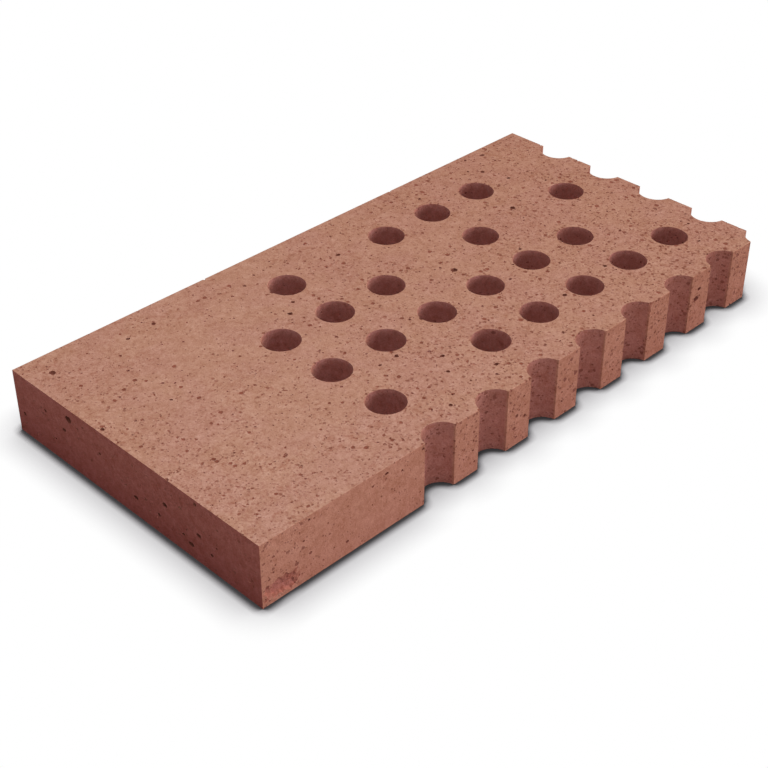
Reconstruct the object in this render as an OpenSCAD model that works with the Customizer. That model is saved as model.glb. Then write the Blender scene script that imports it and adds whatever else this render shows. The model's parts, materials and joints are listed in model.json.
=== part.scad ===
// Terracotta border tile: one slab of fired clay, lying on its underside.
// A grid of straight through holes covers most of it and runs out over one long and one
// short edge, where each hole is cut to a half-round notch that the neighbouring tile
// completes. The other long edge and the far end are plain: they make the border.
// Units are millimetres, +Z is up, and the origin is the middle of the underside.

/* [Tile] */
// Length of the tile, along X
tile_length = 298; // [250:0.5:420]
// Width of the tile, along Y
tile_width = 147.5; // [120:0.5:240]
// Thickness of the tile
thickness = 29; // [12:0.5:50]

/* [Laying] */
// Joint left between laid tiles: each edge stands half of it inside the laying grid
joint = 2.5; // [0:0.5:6]

/* [Perforation] */
// Distance between neighbouring hole centres, along X and along Y
pitch = 30; // [22:0.5:40]
// Diameter of the holes and of the edge notches
hole_d = 16.7; // [6:0.1:20]
// Columns of holes, counted in from the notched short edge
hole_columns = 7; // [1:1:7]
// Rows of holes, counted in from the notched long edge
hole_rows = 4; // [1:1:4]
// Least clay left between a hole and a plain edge: a hole that would leave less isn't made
least_wall = 8; // [2:0.5:20]

/* [Hidden] */
$fn = 96;

// Places in the grid that stay solid, each as [column, row] counted from the notched corner
solid_places = [[6, 1], [1, 2], [2, 3], [4, 3], [1, 4], [5, 4], [7, 4]];

// The laying grid's corner: the joint's middle lines cross there, just off the notched corner
corner_x = (tile_length + joint) / 2;
corner_y = -(tile_width + joint) / 2;

// How far each cutting tool runs past the faces that it goes through
overrun = 1;

function place_x(column) = corner_x - column * pitch;
function place_y(row) = corner_y + row * pitch;

// Does a hole at this place leave enough clay at both plain edges?
function fits(column, row) =
    place_x(column) - hole_d / 2 >= -tile_length / 2 + least_wall
    && place_y(row) + hole_d / 2 <= tile_width / 2 - least_wall;

function stays_solid(column, row) = len([for (place = solid_places) if (place == [column, row]) 1]) > 0;

module slab() {
    translate([-tile_length / 2, -tile_width / 2, 0])
        cube([tile_length, tile_width, thickness]);
}

module hole(column, row) {
    translate([place_x(column), place_y(row), -overrun])
        cylinder(d = hole_d, h = thickness + 2 * overrun);
}

// Column 0 and row 0 lie on the joints' middle lines, so their holes come out as edge notches
module perforation() {
    for (column = [0:hole_columns], row = [0:hole_rows])
        if (fits(column, row) && !stays_solid(column, row))
            hole(column, row);
}

module tile() {
    color("#b9846f")
        difference() {
            slab();
            perforation();
        }
}

tile();
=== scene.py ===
# Terracotta border tile: one fired slab lying on a pale studio floor.
# Its outline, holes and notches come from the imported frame.
# The pits, the chips, the worn arrises and the clay itself are made here.
# Metres throughout, in the frame's own axes: +X is the notched short edge, -Y the notched long edge.
import json
import math

import bmesh
import bpy
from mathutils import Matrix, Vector, noise


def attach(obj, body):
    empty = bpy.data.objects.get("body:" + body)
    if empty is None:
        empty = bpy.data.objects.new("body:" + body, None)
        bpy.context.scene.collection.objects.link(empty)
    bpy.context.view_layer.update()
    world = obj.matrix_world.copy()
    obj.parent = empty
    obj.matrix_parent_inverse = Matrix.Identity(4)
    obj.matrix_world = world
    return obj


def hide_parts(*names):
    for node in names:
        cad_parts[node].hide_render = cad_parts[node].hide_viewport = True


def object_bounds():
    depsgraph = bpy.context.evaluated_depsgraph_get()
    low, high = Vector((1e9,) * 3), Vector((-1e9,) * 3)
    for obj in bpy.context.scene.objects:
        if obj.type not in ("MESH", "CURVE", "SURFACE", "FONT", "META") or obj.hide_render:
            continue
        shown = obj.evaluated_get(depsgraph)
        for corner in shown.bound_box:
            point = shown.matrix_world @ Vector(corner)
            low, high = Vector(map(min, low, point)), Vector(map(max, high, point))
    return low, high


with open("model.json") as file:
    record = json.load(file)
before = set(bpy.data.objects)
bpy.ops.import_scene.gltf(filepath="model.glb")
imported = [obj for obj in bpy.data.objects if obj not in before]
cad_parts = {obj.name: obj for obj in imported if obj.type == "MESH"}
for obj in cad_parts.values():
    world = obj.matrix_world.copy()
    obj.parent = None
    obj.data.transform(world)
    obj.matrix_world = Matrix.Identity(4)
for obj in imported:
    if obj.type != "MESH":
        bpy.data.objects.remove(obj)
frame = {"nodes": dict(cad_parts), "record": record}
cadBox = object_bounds()
low = Vector(cadBox[0])
high = Vector(cadBox[1])
mm = 0.001

# the plain front ends where the notch below the last column of holes begins
lastHole = next(mount for mount in frame["record"]["mounts"] if mount["name"] == "hole_column7_row1")
firstNotch = lastHole["pos_m"][0] - lastHole["dims"]["r_mm"] * mm
print("frame loaded, the tile measures", [round(side / mm, 2) for side in high - low], "mm")


# An output socket that does arithmetic: every operator adds a Math node to the same tree.
class Wire:
    def __init__(self, graph, socket):
        self.graph = graph
        self.socket = socket

    def calc(self, operation, *inputs):
        return self.graph.node("ShaderNodeMath", dict(operation=operation), dict(enumerate(inputs)))["Value"]

    def __add__(self, other):
        return self.calc("ADD", self, other)

    def __radd__(self, other):
        return self.calc("ADD", other, self)

    def __sub__(self, other):
        return self.calc("SUBTRACT", self, other)

    def __rsub__(self, other):
        return self.calc("SUBTRACT", other, self)

    def __mul__(self, other):
        return self.calc("MULTIPLY", self, other)

    def __rmul__(self, other):
        return self.calc("MULTIPLY", other, self)

    def __pow__(self, other):
        return self.calc("POWER", self, other)

    def __gt__(self, other):
        return self.calc("GREATER_THAN", self, other)

    def __lt__(self, other):
        return self.calc("LESS_THAN", self, other)

    def __abs__(self):
        return self.calc("ABSOLUTE", self)

    def largest(self, other):
        return self.calc("MAXIMUM", self, other)

    def smallest(self, other):
        return self.calc("MINIMUM", self, other)


# A node whose outputs are picked by name or number.
class Outlets:
    def __init__(self, graph, node):
        self.graph = graph
        self.node = node

    def __getitem__(self, key):
        return Wire(self.graph, self.graph.find(self.node.outputs, key))


# A node tree: node() takes a type, its settings, and the values or wires of its sockets.
class Graph:
    def __init__(self, tree):
        self.tree = tree

    def find(self, sockets, key):
        if isinstance(key, int):
            return sockets[key]
        for socket in sockets:
            if key in (socket.identifier, socket.name) and socket.enabled:
                return socket
        raise KeyError(key)

    def node(self, kind, settings=None, sockets=None):
        made = self.tree.nodes.new(kind)
        for name, value in (settings or {}).items():
            setattr(made, name, value)
        for key, value in (sockets or {}).items():
            target = self.find(made.inputs, key)
            if isinstance(value, Wire):
                self.tree.links.new(value.socket, target)
            elif isinstance(value, list):
                for wire in value:
                    self.tree.links.new(wire.socket, target)
            else:
                target.default_value = value
        return Outlets(self, made)

    # 0 to 1 as the value goes from start to end, eased at both ends.
    def ramp(self, value, start, end):
        sockets = {"Value": value, "From Min": start, "From Max": end}
        return self.node("ShaderNodeMapRange", dict(interpolation_type="SMOOTHSTEP"), sockets)["Result"]

    def mixColors(self, factor, first, second, blend="MIX"):
        settings = dict(data_type="RGBA", blend_type=blend)
        sockets = {"Factor_Float": factor, "A_Color": first, "B_Color": second}
        return self.node("ShaderNodeMix", settings, sockets)["Result_Color"]

    # first where the chooser is 0, second where it is 1
    def pick(self, chooser, first, second):
        return first * (1 - chooser) + second * chooser

    def noise(self, place, size, detail=2.0, roughness=0.5, output="Fac"):
        sockets = {"Vector": place, "Scale": 1.0 / size, "Detail": detail, "Roughness": roughness}
        return self.node("ShaderNodeTexNoise", None, sockets)[output]

    def vector(self, operation, first, second=None, scale=None):
        sockets = {0: first}
        if second is not None:
            sockets[1] = second
        if scale is not None:
            sockets["Scale"] = scale
        return self.node("ShaderNodeVectorMath", dict(operation=operation), sockets)["Vector"]

    def parts(self, vector):
        return self.node("ShaderNodeSeparateXYZ", None, {"Vector": vector})


studio = dict(
    turn=-44.88,        # degrees round the tile from straight in front
    rise=35.24,         # degrees above level
    distance=0.6545,
    aim=(-0.0178, -0.00185, -0.0053),
    lens=71.85,         # this and the sensor's width are in millimetres
    sensor=36.0,
    keyTurn=65.0,       # the key lamp stands this far round towards the notched short edge
    keyRise=20.0,
    keySoftness=50.0,   # degrees across, as seen from the tile
    keyShare=0.22,      # how much of the upper face's light is the key's
    overhead=1.95,      # the soft box above, which starts at a height and is full at the zenith
    overheadFrom=0.58,
    lowFront=2.30,      # the soft strip along the notched long side, near the floor
    lowLeft=0.35,       # and what comes round to the plain end
    lowUpTo=0.32,
    floorHalf=3.0,
    floorGap=0.15 * mm,
    floorAlbedo=0.3,
    shadowRays=16,
    shadowTint=(1.00, 0.955, 1.00),
    shadowReach=18 * mm,
    contactReach=4.5 * mm,
    contactFrom=0.62,   # the openness at which the shadow under the edge starts to lift
    contactLeast=0.10)

white = (1.0, 1.0, 1.0, 1.0)
black = (0.0, 0.0, 0.0, 1.0)


def rgba(colour):
    return (*colour, 1.0)


def direction(turn, rise):
    turned = math.radians(turn)
    raised = math.radians(rise)
    level = math.cos(raised)
    return Vector((math.sin(turned) * level, -math.cos(turned) * level, math.sin(raised)))


def makeCamera(s):
    lens = bpy.data.cameras.new("camera")
    lens.lens = s["lens"]
    lens.sensor_width = s["sensor"]
    camera = bpy.data.objects.new("camera", lens)
    away = direction(s["turn"], s["rise"])
    camera.location = Vector(s["aim"]) + away * s["distance"]
    camera.rotation_euler = away.to_track_quat("Z", "Y").to_euler()
    bpy.context.scene.collection.objects.link(camera)
    bpy.context.scene.camera = camera


# 1 for the rays that show a backdrop: straight from the camera, mirrored, or through glass.
def backdropRays(graph):
    path = graph.node("ShaderNodeLightPath")
    seen = path["Is Camera Ray"].largest(path["Is Glossy Ray"])
    return seen.largest(path["Is Transmission Ray"])


def makeLights(s):
    key = bpy.data.lights.new("key", "SUN")
    key.angle = math.radians(s["keySoftness"])
    key.energy = math.pi * s["keyShare"] / math.sin(math.radians(s["keyRise"]))
    lamp = bpy.data.objects.new("key", key)
    lamp.rotation_euler = direction(s["keyTurn"], s["keyRise"]).to_track_quat("Z", "Y").to_euler()
    bpy.context.scene.collection.objects.link(lamp)
    world = bpy.data.worlds.new("studio")
    world.use_nodes = True
    world.node_tree.nodes.clear()
    graph = Graph(world.node_tree)
    way = graph.parts(graph.node("ShaderNodeTexCoord")["Generated"])
    nearFloor = 1 - graph.ramp(abs(way["Z"]), 0.0, s["lowUpTo"])
    front = s["lowFront"] * (0 - way["Y"]).largest(0.0)
    left = s["lowLeft"] * (0 - way["X"]).largest(0.0)
    above = s["overhead"] * graph.ramp(way["Z"], s["overheadFrom"], 1.0)
    strength = above + nearFloor * (front + left)
    sky = graph.node("ShaderNodeBackground", None, {"Color": white, "Strength": strength})
    backdrop = graph.node("ShaderNodeBackground", None, {"Color": white, "Strength": 1.0})
    sockets = {0: backdropRays(graph), 1: sky["Background"], 2: backdrop["Background"]}
    both = graph.node("ShaderNodeMixShader", None, sockets)
    graph.node("ShaderNodeOutputWorld", None, {"Surface": both["Shader"]})
    bpy.context.scene.world = world


# White where it is looked at, with the soft shade of what stands near; plain and mid-pale for bounced light.
def floorMaterial(s):
    material = bpy.data.materials.new("floor")
    material.use_nodes = True
    material.node_tree.nodes.clear()
    graph = Graph(material.node_tree)
    plain = graph.node("ShaderNodeBsdfDiffuse", None, {"Color": rgba([s["floorAlbedo"]] * 3)})
    rays = dict(samples=s["shadowRays"])
    wide = graph.node("ShaderNodeAmbientOcclusion", rays, {"Distance": s["shadowReach"]})["AO"]
    close = graph.node("ShaderNodeAmbientOcclusion", rays, {"Distance": s["contactReach"]})["AO"]
    lift = (close - s["contactFrom"]) * (1 / (1 - s["contactFrom"]))
    shade = wide * lift.largest(s["contactLeast"])
    tint = graph.mixColors(shade, rgba(s["shadowTint"]), white)
    glow = graph.node("ShaderNodeEmission", None, {"Color": graph.mixColors(shade, black, tint)})
    sockets = {0: backdropRays(graph), 1: plain["BSDF"], 2: glow["Emission"]}
    both = graph.node("ShaderNodeMixShader", None, sockets)
    graph.node("ShaderNodeOutputMaterial", None, {"Surface": both["Shader"]})
    return material


def makeFloor(s):
    half = s["floorHalf"]
    z = low.z - s["floorGap"]
    mesh = bpy.data.meshes.new("floor")
    corners = [(-half, -half, z), (half, -half, z), (half, half, z), (-half, half, z)]
    mesh.from_pydata(corners, [], [(0, 1, 2, 3)])
    mesh.materials.append(floorMaterial(s))
    floor = bpy.data.objects.new("floor", mesh)
    bpy.context.scene.collection.objects.link(floor)


makeCamera(studio)
makeLights(studio)
makeFloor(studio)
bpy.context.scene.view_settings.view_transform = "Standard"
print("studio ready")


# The clay. Colours are linear. A pair of numbers is where something begins and where it is full.
clay = dict(
    skin=(0.486, 0.249, 0.170),         # the upper face, in clouds of two tones
    skinPink=(0.478, 0.239, 0.171),
    # the sides: redder than the upper face, as painted shade
    side=(0.528, 0.226, 0.154),
    endFace=(0.466, 0.142, 0.111),      # the plain short edge: darker and redder than the sides, as painted shade
    # the walls of notches and holes: copies in painted shade, redder and bluer than the sides
    notch=(0.516, 0.208, 0.167),
    notchLit=(0.420, 0.180, 0.124),     # painted light: the copy for the walls of a notch that face the notched short edge and the key lamp
    hole=(0.535, 0.224, 0.192),
    holeLit=(0.532, 0.233, 0.166),      # painted light: the same copy for those walls of a hole
    sideFoot=(0.930, 0.870, 0.900),     # painted shade: what a side is multiplied by at its foot, darker towards the floor
    endFoot=(0.680, 0.520, 0.560),      # the same at the plain end
    notchedEnd=(0.955, 0.905, 0.880),   # what all of it is multiplied by at the notched short edge
    stainTint=(0.860, 0.760, 0.720),
    rawTint=(0.920, 0.790, 0.800),      # what the broken patches are multiplied by: redder
    pit=(0.180, 0.055, 0.036),          # painted shade in the pits of the upper face and the plain end
    # painted shade in the pits of the sides
    sidePit=(0.285, 0.090, 0.066),
    pore=(0.205, 0.055, 0.033),         # the specks, some nearly black and some rusty
    sidePore=(0.262, 0.081, 0.059),
    rust=(0.265, 0.074, 0.045),
    rustAmong=(0.4, 0.6),               # the blotches in which the specks are rusty
    roughness=0.92,
    specular=0.15,

    skinDepth=(2.5 * mm, 1.5 * mm),     # below the upper face
    endDepth=(4 * mm, 2 * mm),          # in from the plain end
    footHeight=(26 * mm, -8 * mm),      # above the underside, for the painted shade at the foot
    mouth=1.5 * mm,                     # how far in from the outline a notch takes its colour in painted shade
    deepest=9 * mm,                     # what is further in than this is a hole's wall
    facingUp=(0.10, 0.95),              # how squarely a face looks that way
    facingDown=(0.90, 0.99),
    facingEnd=(0.15, 0.95),
    facingLit=(0.0, 0.7),

    cloud=22 * mm,
    cloudSpan=(0.38, 0.62),
    blotch=4.5 * mm,
    blotchTone=0.38,                    # how much paler or darker the blotches are
    mottle=1.9 * mm,
    mottleTone=0.40,
    grain=0.60 * mm,
    grainTone=0.40,
    frontTone=0.06,                     # painted light: how much paler the upper face is towards the notched long edge
    skinTone=-0.02,                     # and all over it
    greenFall=1.50,                     # dark clay is redder: its green and blue fall faster than its red
    blueFall=1.90,
    stain=3.2 * mm,                     # darker, redder clay among the specks
    stainSpan=(0.50, 0.68),
    stainLeast=0.2,                     # what is left of it outside the patches
    worm=1.1 * mm,                      # irregular redder marks between the specks
    wormSpan=(0.58, 0.72),
    wormTone=0.36,
    wormCrowd=0.08,                     # how much more of them there are among the specks
    wormShares=(0.35, 0.65, 0.35),      # of that tone: anywhere, and what the skin and the plain end add
    drawnOut=0.85,                      # they are longer across the tile than along it
    mottleRelief=1.5,                   # the bump's shares, where the grain's is 1
    speckRelief=-2.0,
    reliefHeight=0.10 * mm,

    # how close the specks lie: shares of the cells that hold one, added up by place
    crowding=dict(
        patch=18 * mm,                  # the patches in which they lie closer
        patchSpan=(0.40, 0.62),
        inPatches=0.35,
        along=0.42,                     # at the notched short edge
        across=0.50,                    # at the notched long edge
        nearEnd=0.42,                   # at the plain end
        endReach=50 * mm,
        sides=-0.42,                    # on every side
        sideNotches=0.45,               # back again on the long side where it is notched
        notchesFrom=20 * mm,
        frontReach=16 * mm,
        endFace=0.30,
        curved=0.20,
        spared=0.75,                    # the share that is missing inside the holes
        wider=(0.95, 0.16),             # their width at the plain end, and what the other end adds
        ragged=0.9 * mm,                # the noise that makes their outlines uneven
        wander=1.0 * mm,
        flatness=1.15))                 # how much wider than high one on a side is

# Specks by size: the cell that holds one, its widest radius as a share of the cell, how rare the wide
# ones are, how soft its outline is, how strong its tone, and how many more of these there are.
speckSizes = [
    dict(cell=3.4 * mm, reach=0.34, rarity=1.35, soft=0.08, tone=1.00, more=-0.08),
    dict(cell=2.2 * mm, reach=0.39, rarity=1.1, soft=0.12, tone=1.00, more=0.00),
    dict(cell=1.4 * mm, reach=0.42, rarity=0.9, soft=0.17, tone=0.70, more=0.08)]
faintest = 0.6      # the tone of the faintest speck of a size, as a share of the strongest


# Dark specks in the clay: each cell of the pattern may hold one, by the crowd that is wanted there.
def specks(graph, place, size, crowd, widening):
    found = graph.node("ShaderNodeTexVoronoi", None, {"Vector": place, "Scale": 1.0 / size["cell"]})
    chance = graph.parts(found["Color"])
    radius = size["reach"] * chance["X"] ** size["rarity"] * widening
    inside = graph.ramp(radius - found["Distance"], 0.0, size["soft"])
    tone = size["tone"] * (faintest + (1 - faintest) * chance["Z"])
    return inside * (chance["Y"] < crowd + size["more"]) * tone


def clayMaterial(c):
    material = bpy.data.materials.new("firedClay")
    material.use_nodes = True
    material.node_tree.nodes.clear()
    graph = Graph(material.node_tree)
    place = graph.node("ShaderNodeTexCoord")["Object"]
    axes = graph.parts(place)
    facing = graph.parts(graph.node("ShaderNodeTexCoord")["Normal"])

    # where on the tile: the upper face, the plain end, and the walls of holes and notches
    nearTop = graph.ramp(axes["Z"], *(high.z - depth for depth in c["skinDepth"]))
    up = graph.ramp(facing["Z"], *c["facingUp"]) * nearTop
    nearPlainEnd = graph.ramp(axes["X"], *(low.x + depth for depth in c["endDepth"]))
    plainEnd = graph.ramp(0 - facing["X"], *c["facingEnd"]) * nearPlainEnd
    inward = (axes["Y"] - low.y).smallest(high.y - axes["Y"])
    inward = inward.smallest(axes["X"] - low.x).smallest(high.x - axes["X"])
    upright = 1 - up.largest(graph.ramp(0 - facing["Z"], *c["facingDown"]))
    curved = upright * graph.ramp(inward, 0.0, c["mouth"])
    inHole = upright * (inward > c["deepest"])
    # painted light: walls that face the notched short edge and the key lamp take the lit copies
    paintedLit = graph.ramp(facing["X"], *c["facingLit"])
    # painted shade: darker towards the floor at the foot of every face but the upper one
    foot = graph.ramp(axes["Z"], *(low.z + height for height in c["footHeight"])) * (1 - up)

    # how far along the tile, and across it towards the notched long edge
    along = graph.ramp(axes["X"], low.x, high.x)
    toFront = 1 - graph.ramp(axes["Y"], low.y, high.y)

    # the colours by place, with painted shade in the redder sides, plain end and walls, then paler and
    # darker in patches of three sizes
    cloud = graph.ramp(graph.noise(place, c["cloud"], detail=3), *c["cloudSpan"])
    blotch = graph.noise(place, c["blotch"], detail=3)
    mottle = graph.noise(place, c["mottle"], detail=3, roughness=0.6)
    grain = graph.noise(place, c["grain"], detail=1.5)
    skin = graph.mixColors(cloud, rgba(c["skin"]), rgba(c["skinPink"]))
    sides = graph.mixColors(plainEnd, rgba(c["side"]), rgba(c["endFace"]))
    notch = graph.mixColors(paintedLit, rgba(c["notch"]), rgba(c["notchLit"]))
    hole = graph.mixColors(paintedLit, rgba(c["hole"]), rgba(c["holeLit"]))
    sides = graph.mixColors(curved, sides, graph.mixColors(inHole, notch, hole))
    footShadeTint = graph.mixColors(plainEnd, rgba(c["sideFoot"]), rgba(c["endFoot"]))
    sides = graph.mixColors(foot, sides, footShadeTint, blend="MULTIPLY")
    colour = graph.mixColors(up, sides, skin)
    colour = graph.mixColors(along, colour, rgba(c["notchedEnd"]), blend="MULTIPLY")
    # paler and darker at random, and on the upper face the painted light towards the notched long edge
    shade = 1.0 + c["blotchTone"] * (blotch - 0.5) + c["mottleTone"] * (mottle - 0.5)
    shade = shade + c["grainTone"] * (grain - 0.5) + (c["frontTone"] * toFront + c["skinTone"]) * up
    redder = {"X": shade, "Y": shade ** c["greenFall"], "Z": shade ** c["blueFall"]}
    redder = graph.node("ShaderNodeCombineXYZ", None, redder)["Vector"]
    colour = graph.vector("MULTIPLY", colour, redder)

    # how close the specks lie, with uneven outlines
    k = c["crowding"]
    squashed = graph.vector("MULTIPLY", place, (1.0, 1.0, k["flatness"]))
    bent = graph.noise(squashed, k["ragged"], detail=1, output="Color")
    bent = graph.vector("SUBTRACT", bent, (0.5, 0.5, 0.5))
    spread = graph.vector("ADD", squashed, graph.vector("SCALE", bent, scale=k["wander"]))
    patch = graph.ramp(graph.noise(place, k["patch"], detail=2), *k["patchSpan"])
    nearFront = 1 - graph.ramp(axes["Y"], low.y, low.y + k["frontReach"])
    nearNotches = graph.ramp(axes["X"], firstNotch, firstNotch + k["notchesFrom"]) * nearFront
    nearEnd = 1 - graph.ramp(axes["X"], low.x, low.x + k["endReach"])
    crowd = k["inPatches"] * patch + k["along"] * along + k["across"] * toFront
    crowd = crowd + k["nearEnd"] * nearEnd + (k["sideNotches"] * nearNotches + k["sides"]) * (1 - up)
    crowd = crowd + k["endFace"] * plainEnd + k["curved"] * curved
    crowd = crowd * (1 - k["spared"] * inHole)
    leastWide, moreWide = k["wider"]
    widening = leastWide + moreWide * along

    # stains and worm-like marks under them, the specks themselves, then the painted shade in the pits cut
    # into the mesh
    stain = graph.ramp(graph.noise(place, c["stain"], detail=4, roughness=0.6), *c["stainSpan"])
    stain = stain * (c["stainLeast"] + (1 - c["stainLeast"]) * patch)
    stained = graph.mixColors(1.0, colour, rgba(c["stainTint"]), blend="MULTIPLY")
    colour = graph.mixColors(stain, colour, stained)
    drawn = graph.vector("MULTIPLY", spread, (1.0, c["drawnOut"], 1.0))
    worms = graph.noise(drawn, c["worm"], detail=2) + c["wormCrowd"] * crowd
    anywhere, onSkin, onEnd = c["wormShares"]
    worms = c["wormTone"] * graph.ramp(worms, *c["wormSpan"]) * (anywhere + onSkin * up + onEnd * plainEnd)
    pore = graph.mixColors(up.largest(plainEnd), rgba(c["sidePore"]), rgba(c["pore"]))
    rust = graph.mixColors(up, rgba(c["sidePore"]), rgba(c["rust"]))
    colour = graph.mixColors(worms, colour, rust)
    dark = 0.0
    for size in speckSizes:
        dark = specks(graph, spread, size, crowd, widening).largest(dark)
    rusty = graph.ramp(blotch, *c["rustAmong"])
    colour = graph.mixColors(dark, colour, graph.mixColors(rusty, pore, rust))
    # painted shade: each pit's faces darkened by its tone, darker on the upper face and the plain end
    pit = graph.node("ShaderNodeAttribute", dict(attribute_name="pit"))["Fac"]
    darker = nearTop.largest(nearPlainEnd)
    colour = graph.mixColors(pit, colour, graph.mixColors(darker, rgba(c["sidePit"]), rgba(c["pit"])))
    raw = graph.node("ShaderNodeAttribute", dict(attribute_name="raw"))["Fac"]
    colour = graph.mixColors(raw, colour, rgba(c["rawTint"]), blend="MULTIPLY")

    relief = grain + c["mottleRelief"] * mottle + c["speckRelief"] * dark
    sockets = {"Strength": 1.0, "Distance": c["reliefHeight"], "Height": relief}
    bump = graph.node("ShaderNodeBump", None, sockets)
    surface = {"Base Color": colour, "Roughness": c["roughness"], "Specular IOR Level": c["specular"],
               "Normal": bump["Normal"]}
    shader = graph.node("ShaderNodeBsdfPrincipled", None, surface)
    graph.node("ShaderNodeOutputMaterial", None, {"Surface": shader["BSDF"]})
    return material


tile = dict(
    weld=0.001 * mm,
    cell=12 * mm,           # the flat faces are cut up this small before the pits are taken out
    rim=4 * mm,             # the walls are cut up this far below and above their edges
    inLine=0.5,             # degrees between triangles that belong to one face
    edgeFrom=30,            # degrees between faces whose edge is rounded
    creaseFrom=35,          # degrees between faces whose edge stays crisp
    arris=0.35 * mm,        # rounding of an ordinary edge
    wornArris=1.8 * mm,     # rounding of the upper edge over the lands between the notches
    frontArris=1.0 * mm,    # rounding of the same edge where there are no notches
    roundingSteps=3,

    # what the scattered pits have in common
    scattered=dict(
        tries=1e6,              # places a square metre to choose from
        slope=(0.15, 0.98),     # how far a rounded edge looks up or down
        patch=14 * mm,          # the patches in which they lie closer
        patchSpan=(0.35, 0.65),
        keep=(0.15, 0.45, 0.4), # the share kept anywhere, and what patches and the notched short edge add
        below=-0.9,             # a face that looks down more than this is the underside
        sparedBelow=0.7,        # the share that is missing there
        length=(0.8, 1.5),      # of one pit, in radii
        depth=(0.6, 1.1),
        tones=(0.25, 1.0),      # how dark one's painted shade is, as a share of its size's tone
        shapes=6,               # rough lumps to pick from
        segments=8,
        rings=4,
        lumpNoise=0.9,          # in radii
        lumpShift=7.3,          # from one lump's noise to the next one's
        ruggedness=0.9),

    # the shape of the pits that are listed one by one
    handmade=dict(
        width=(0.9, 0.2),       # in radii: the middling one, and how far the others differ
        widthStep=2.4,          # radians from one pit's width to the next one's
        depth=0.7,
        facets=2,
        smooth=True,
        coarse=0.9,             # the noise, in millimetres, and how far it strays as a share of the size
        stray=0.45))
flatEnough = 0.9998             # what steepest() is more than on a flat face
breakNoise = (1.0, 2.0, 3)      # how it fades, how much finer each layer is, and how many layers there are

# Scattered pits by size: how far apart they lie, their radii, how rare the wide ones are, how many of them
# stay after thinning, and how dark their painted shade is. Those with chips=1 sit only on the rounded edges.
pitSizes = [
    dict(spacing=11.0 * mm, smallest=0.40 * mm, largest=0.85 * mm,
         rarity=2.0, share=0.8, tone=0.8, chips=0, seed=3),
    dict(spacing=4.4 * mm, smallest=0.28 * mm, largest=0.52 * mm,
         rarity=1.6, share=0.7, tone=0.5, chips=0, seed=14),
    dict(spacing=6.0 * mm, smallest=0.25 * mm, largest=0.70 * mm,
         rarity=3.0, share=0.5, tone=0.3, chips=1, seed=36)]

# The pits that show most, in millimetres: place on the face, then radius.
upperPits = [
    (30, 3, 1.5), (-139, 61, 1.3), (120, 68, 1.2), (-44, 27, 1.1), (48, -44, 1.2), (3, 48, 1.1),
    (90, 22, 1.2), (79, -41, 1.1), (-35, -26, 1.0), (107, 56, 1.0), (-11, -58, 1.1), (-44, -64, 0.9),
    (-22, -39, 1.0), (111, 43, 0.9), (-147, 17, 0.9), (126, -57, 0.8), (-37, 33, 0.8), (-28, -48, 0.9),
    (-44, -26, 0.8), (-89, 61, 0.9), (122, 29, 0.8), (57, -69, 0.9), (-8, -14, 1.0), (83, -12, 0.9),
    (-38, 45, 1.1)]
plainEndPits = [
    (37, 24, 2.2), (-21, 16, 1.6), (-35, 6, 1.5), (69, 10, 1.4), (-3, 9, 1.3), (-40, 13, 1.2),
    (-17, 9, 1.1), (41, 17, 1.1), (-31, 8, 1.0), (-47, 8, 0.9), (18, 18, 0.7), (-50, 13, 0.6),
    (53, 20, 0.7), (48, 9, 0.6)]
notchedSidePits = [
    (103, 16, 1.8), (104.5, 20.5, 1.2), (-11, 12, 0.9), (-41, 11, 0.6), (76, 17, 0.6), (-12, 22, 0.6),
    (-88, 26, 0.9), (-129, 19, 0.6), (-108, 6, 0.8), (-69, 27, 0.8), (-95, 24, 0.7), (-52, 21, 0.7),
    (-66, 14, 0.7), (84, 22, 0.8), (-126, 27, 0.6), (-80, 23, 0.6)]

# Broken patches, in millimetres: centre, half sizes, how coarse the break is and how far it strays.
scars = [
    dict(at=(-139.5, -74.9, 5.4), size=(11.0, 2.1, 5.0), facets=5, smooth=False, coarse=2.4, stray=0.24),
    dict(at=(66, -75.0, 28), size=(6, 2.2, 4), facets=5, smooth=False, coarse=2.5, stray=0.36)]


# The node's own surface as a sound mesh: its flat faces cut to a grid, its edges weighted for rounding.
def slabMesh(t):
    mesh = frame["nodes"]["tile"].data.copy()
    mesh.name = "terracottaTile"
    mesh.attributes.remove(mesh.attributes["custom_normal"])
    mesh.materials.clear()
    shape = bmesh.new()
    shape.from_mesh(mesh)
    bmesh.ops.remove_doubles(shape, verts=shape.verts, dist=t["weld"])
    angle = math.radians(t["inLine"])
    bmesh.ops.dissolve_limit(shape, angle_limit=angle, verts=shape.verts, edges=shape.edges)
    for axis in (0, 1):
        steps = round((high[axis] - low[axis]) / t["cell"])
        across = Vector((axis == 0, axis == 1, 0))
        for step in range(1, steps):
            cut = across * (low[axis] + (high[axis] - low[axis]) * step / steps)
            everything = shape.verts[:] + shape.edges[:] + shape.faces[:]
            bmesh.ops.bisect_plane(shape, geom=everything, plane_co=cut, plane_no=across)
    for height in (low.z + t["rim"], high.z - t["rim"]):
        everything = shape.verts[:] + shape.edges[:] + shape.faces[:]
        bmesh.ops.bisect_plane(shape, geom=everything, plane_co=(0, 0, height), plane_no=(0, 0, 1))
    bmesh.ops.triangulate(shape, faces=shape.faces)
    weight = shape.edges.layers.float.new("bevel_weight_edge")
    for edge in shape.edges:
        if edge.calc_face_angle() > math.radians(t["edgeFrom"]):
            radius = t["arris"]
            if all(v.co.y < low.y + t["weld"] and v.co.z > high.z - t["weld"] for v in edge.verts):
                isPlain = max(v.co.x for v in edge.verts) < firstNotch
                radius = t["frontArris"] if isPlain else t["wornArris"]
            edge[weight] = radius / t["wornArris"]
    shape.to_mesh(mesh)
    shape.free()
    return mesh


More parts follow.
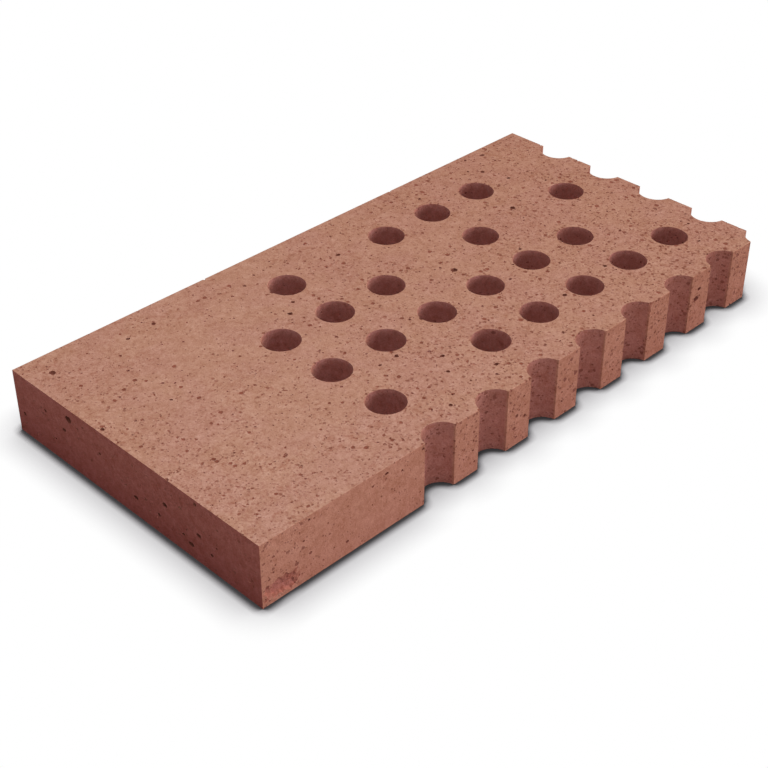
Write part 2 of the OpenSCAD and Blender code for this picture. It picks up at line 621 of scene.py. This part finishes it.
# A rough ball of clay to take out: stretched to size, then pulled in and out by noise.
def addLump(shape, layer, place, size, look):
    made = bmesh.ops.create_icosphere(shape, subdivisions=look["facets"], radius=1.0)["verts"]
    for vert in made:
        point = Vector(a * b for a, b in zip(vert.co, size)) + place
        wobble = noise.fractal(point / (look["coarse"] * mm), *breakNoise)
        vert.co = point + (point - place) * (look["stray"] * wobble)
    for face in {face for vert in made for face in vert.link_faces}:
        face[layer] = 1.0
        face.smooth = look["smooth"]


# The large pits and the broken patches, as one object for the node tree to take away.
def handmadeCuts(look):
    shape = bmesh.new()
    # the pits' faces are marked for their painted shade, the broken patches' faces for their tint
    dark = shape.faces.layers.float.new("pit")
    raw = shape.faces.layers.float.new("raw")
    spots = []
    for x, y, radius in upperPits:
        spots.append((Vector((x * mm, y * mm, high.z)), radius * mm))
    for y, z, radius in plainEndPits:
        spots.append((Vector((low.x, y * mm, z * mm)), radius * mm))
    for x, z, radius in notchedSidePits:
        spots.append((Vector((x * mm, low.y, z * mm)), radius * mm))
    middling, differs = look["width"]
    for number, (place, radius) in enumerate(spots):
        width = middling + differs * math.sin(look["widthStep"] * number)
        addLump(shape, dark, place, (radius, radius * width, radius * look["depth"]), look)
    for scar in scars:
        addLump(shape, raw, Vector(scar["at"]) * mm, [s * mm for s in scar["size"]], scar)
    mesh = bpy.data.meshes.new("cuts")
    shape.to_mesh(mesh)
    shape.free()
    cuts = bpy.data.objects.new("cuts", mesh)
    bpy.context.scene.collection.objects.link(cuts)
    return cuts


def newTree(name, numbers):
    tree = bpy.data.node_groups.new(name, "GeometryNodeTree")
    tree.interface.new_socket(name="Geometry", in_out="INPUT", socket_type="NodeSocketGeometry")
    tree.interface.new_socket(name="Geometry", in_out="OUTPUT", socket_type="NodeSocketGeometry")
    for label, value in numbers.items():
        kind = "NodeSocketInt" if isinstance(value, int) else "NodeSocketFloat"
        socket = tree.interface.new_socket(name=label, in_out="INPUT", socket_type=kind)
        socket.default_value = value
    return tree


def randomValue(graph, least, most, seed):
    sockets = {"Min_001": least, "Max_001": most, "Seed": seed}
    return graph.node("FunctionNodeRandomValue", None, sockets)["Value_001"]


def store(graph, geometry, name, domain, value):
    settings = dict(data_type="FLOAT", domain=domain)
    sockets = {"Geometry": geometry, "Name": name, "Value": value}
    return graph.node("GeometryNodeStoreNamedAttribute", settings, sockets)["Geometry"]


def dropAttribute(graph, geometry, name):
    sockets = {"Geometry": geometry, "Name": name}
    return graph.node("GeometryNodeRemoveAttribute", None, sockets)["Geometry"]


# The largest part of a face's normal along any axis: 1 on the flat faces, less on walls and roundings.
def steepest(graph):
    axes = graph.parts(graph.node("GeometryNodeInputNormal")["Normal"])
    return abs(axes["X"]).largest(abs(axes["Y"])).largest(abs(axes["Z"]))


# Rough lumps of about unit radius, as instances to pick from.
def lumps(graph, p):
    sockets = {"Segments": p["segments"], "Rings": p["rings"], "Radius": 1.0}
    ball = graph.node("GeometryNodeMeshUVSphere", None, sockets)["Mesh"]
    made = []
    for number in range(p["shapes"]):
        place = graph.node("GeometryNodeInputPosition")["Position"]
        shifted = graph.vector("ADD", place, (p["lumpShift"] * number, 0, 0))
        pull = graph.noise(shifted, p["lumpNoise"], detail=1)
        offset = graph.vector("SCALE", place, scale=(pull - 0.5) * p["ruggedness"])
        moved = graph.node("GeometryNodeSetPosition", None, {"Geometry": ball, "Offset": offset})["Geometry"]
        made.append(graph.node("GeometryNodeGeometryToInstance", None, {"Geometry": [moved]})["Instances"])
    return graph.node("GeometryNodeJoinGeometry", None, {"Geometry": made})["Geometry"]


# One size of pit: scattered over the surface in patches, each lump turned and stretched its own way.
def pitFieldTree(p):
    tree = newTree("pitField", pitSizes[0])
    graph = Graph(tree)
    given = graph.node("NodeGroupInput")
    seed = given["seed"]
    slope = abs(graph.parts(graph.node("GeometryNodeInputNormal")["Normal"])["Z"])
    leastSlope, mostSlope = p["slope"]
    onArris = (slope > leastSlope) * (slope < mostSlope)
    onFlat = steepest(graph) > flatEnough
    sockets = {"Mesh": given["Geometry"], "Selection": graph.pick(given["chips"], onFlat, onArris),
               "Distance Min": given["spacing"], "Density Max": p["tries"], "Seed": seed}
    spots = graph.node("GeometryNodeDistributePointsOnFaces", dict(distribute_method="POISSON"), sockets)

    # thinned out by patches, most at the plain end and underneath
    place = graph.node("GeometryNodeInputPosition")["Position"]
    patches = graph.ramp(graph.noise(place, p["patch"], detail=2), *p["patchSpan"])
    spared = p["sparedBelow"] * (graph.parts(spots["Normal"])["Z"] < p["below"])
    along = graph.ramp(graph.parts(place)["X"], low.x, high.x)
    anywhere, inPatches, atNotches = p["keep"]
    keep = given["share"] * (anywhere + inPatches * patches + atNotches * along) * (1 - spared)
    sockets = {"Geometry": spots["Points"], "Selection": randomValue(graph, 0.0, 1.0, seed + 1) > keep}
    left = graph.node("GeometryNodeDeleteGeometry", dict(domain="POINT"), sockets)["Geometry"]

    # each pit's own size, stretch, turn and shape
    chance = randomValue(graph, 0.0, 1.0, seed + 2) ** given["rarity"]
    radius = given["smallest"] + (given["largest"] - given["smallest"]) * chance
    sockets = {"X": radius * randomValue(graph, *p["length"], seed + 3), "Y": radius,
               "Z": radius * randomValue(graph, *p["depth"], seed + 4)}
    scale = graph.node("ShaderNodeCombineXYZ", None, sockets)["Vector"]
    sockets = {"Z": randomValue(graph, 0.0, math.tau, seed + 5)}
    spin = graph.node("ShaderNodeCombineXYZ", None, sockets)["Vector"]
    spun = graph.node("FunctionNodeEulerToRotation", None, {"Euler": spin})["Rotation"]
    sockets = {"Rotation": spots["Rotation"], "Rotate By": spun}
    turn = graph.node("FunctionNodeRotateRotation", dict(rotation_space="LOCAL"), sockets)["Rotation"]
    sockets = {"Min_002": 0, "Max_002": p["shapes"] - 1, "Seed": seed + 6}
    which = graph.node("FunctionNodeRandomValue", dict(data_type="INT"), sockets)["Value_002"]
    sockets = {"Points": left, "Instance": lumps(graph, p), "Pick Instance": True,
               "Instance Index": which, "Rotation": turn, "Scale": scale}
    cutters = graph.node("GeometryNodeInstanceOnPoints", None, sockets)["Instances"]

    # the tone of each pit's painted shade goes from each instance to its faces
    tone = given["tone"] * randomValue(graph, *p["tones"], seed + 7)
    cutters = store(graph, cutters, "tone", "INSTANCE", tone)
    cutters = graph.node("GeometryNodeRealizeInstances", None, {"Geometry": cutters})["Geometry"]
    stored = graph.node("GeometryNodeInputNamedAttribute", dict(data_type="FLOAT"), {"Name": "tone"})
    cutters = store(graph, cutters, "pit", "FACE", stored["Attribute"])
    graph.node("NodeGroupOutput", None, {"Geometry": dropAttribute(graph, cutters, "tone")})
    return tree


def weatherTree(t):
    tree = newTree("weatheredClay", {})
    tree.interface.new_socket(name="finish", in_out="INPUT", socket_type="NodeSocketMaterial")
    tree.interface.new_socket(name="handmadeCuts", in_out="INPUT", socket_type="NodeSocketObject")
    graph = Graph(tree)
    given = graph.node("NodeGroupInput")

    # flat faces stay flat, the curved walls and roundings are smooth
    onFlat = steepest(graph) > flatEnough
    sockets = {"Geometry": given["Geometry"], "Selection": onFlat, "Shade Smooth": False}
    slab = graph.node("GeometryNodeSetShadeSmooth", dict(domain="FACE"), sockets)["Geometry"]

    cutters = [graph.node("GeometryNodeObjectInfo", None, {"Object": given["handmadeCuts"]})["Geometry"]]
    field = pitFieldTree(t["scattered"])
    for size in pitSizes:
        sockets = {"Geometry": slab, **size}
        cutters.append(graph.node("GeometryNodeGroup", dict(node_tree=field), sockets)["Geometry"])
    settings = dict(operation="DIFFERENCE", solver="MANIFOLD")
    sockets = {"Mesh 1": slab, "Mesh 2": cutters}
    pitted = graph.node("GeometryNodeMeshBoolean", settings, sockets)["Mesh"]
    angle = graph.node("GeometryNodeInputMeshEdgeAngle")["Unsigned Angle"]
    crisp = angle > math.radians(t["creaseFrom"])
    sockets = {"Geometry": pitted, "Selection": crisp, "Shade Smooth": False}
    pitted = graph.node("GeometryNodeSetShadeSmooth", dict(domain="EDGE"), sockets)["Geometry"]
    for name in ("id", "bevel_weight_edge"):
        pitted = dropAttribute(graph, pitted, name)
    whole = graph.node("GeometryNodeRealizeInstances", None, {"Geometry": pitted})["Geometry"]
    sockets = {"Geometry": whole, "Material": given["finish"]}
    finished = graph.node("GeometryNodeSetMaterial", None, sockets)["Geometry"]
    graph.node("NodeGroupOutput", None, {"Geometry": finished})
    return tree


def setInput(modifier, label, value):
    for item in modifier.node_group.interface.items_tree:
        if item.name == label and item.in_out == "INPUT":
            modifier[item.identifier] = value


# The evaluated object as a plain mesh, with its modifiers and its empty material slots gone.
def bake(piece):
    depsgraph = bpy.context.evaluated_depsgraph_get()
    mesh = bpy.data.meshes.new_from_object(piece.evaluated_get(depsgraph), depsgraph=depsgraph)
    for slot in reversed(range(len(mesh.materials))):
        if mesh.materials[slot] is None:
            mesh.materials.pop(index=slot)
    piece.modifiers.clear()
    piece.data = mesh


def makeTile(t, finish):
    piece = bpy.data.objects.new("terracottaTile", slabMesh(t))
    bpy.context.scene.collection.objects.link(piece)
    rounding = piece.modifiers.new("arrises", "BEVEL")
    rounding.limit_method = "WEIGHT"
    rounding.width = t["wornArris"]
    rounding.segments = t["roundingSteps"]
    cuts = handmadeCuts(t["handmade"])
    weather = piece.modifiers.new("pits", "NODES")
    weather.node_group = weatherTree(t)
    setInput(weather, "finish", finish)
    setInput(weather, "handmadeCuts", cuts)
    bake(piece)
    bpy.data.objects.remove(cuts)
    return piece


firedClay = clayMaterial(clay)
print("clay ready:", len(firedClay.node_tree.nodes), "nodes")
tileObject = makeTile(tile, firedClay)
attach(tileObject, "root")
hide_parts("tile")
triangles = sum(len(face.vertices) - 2 for face in tileObject.data.polygons)
print("tile ready:", triangles, "triangles")
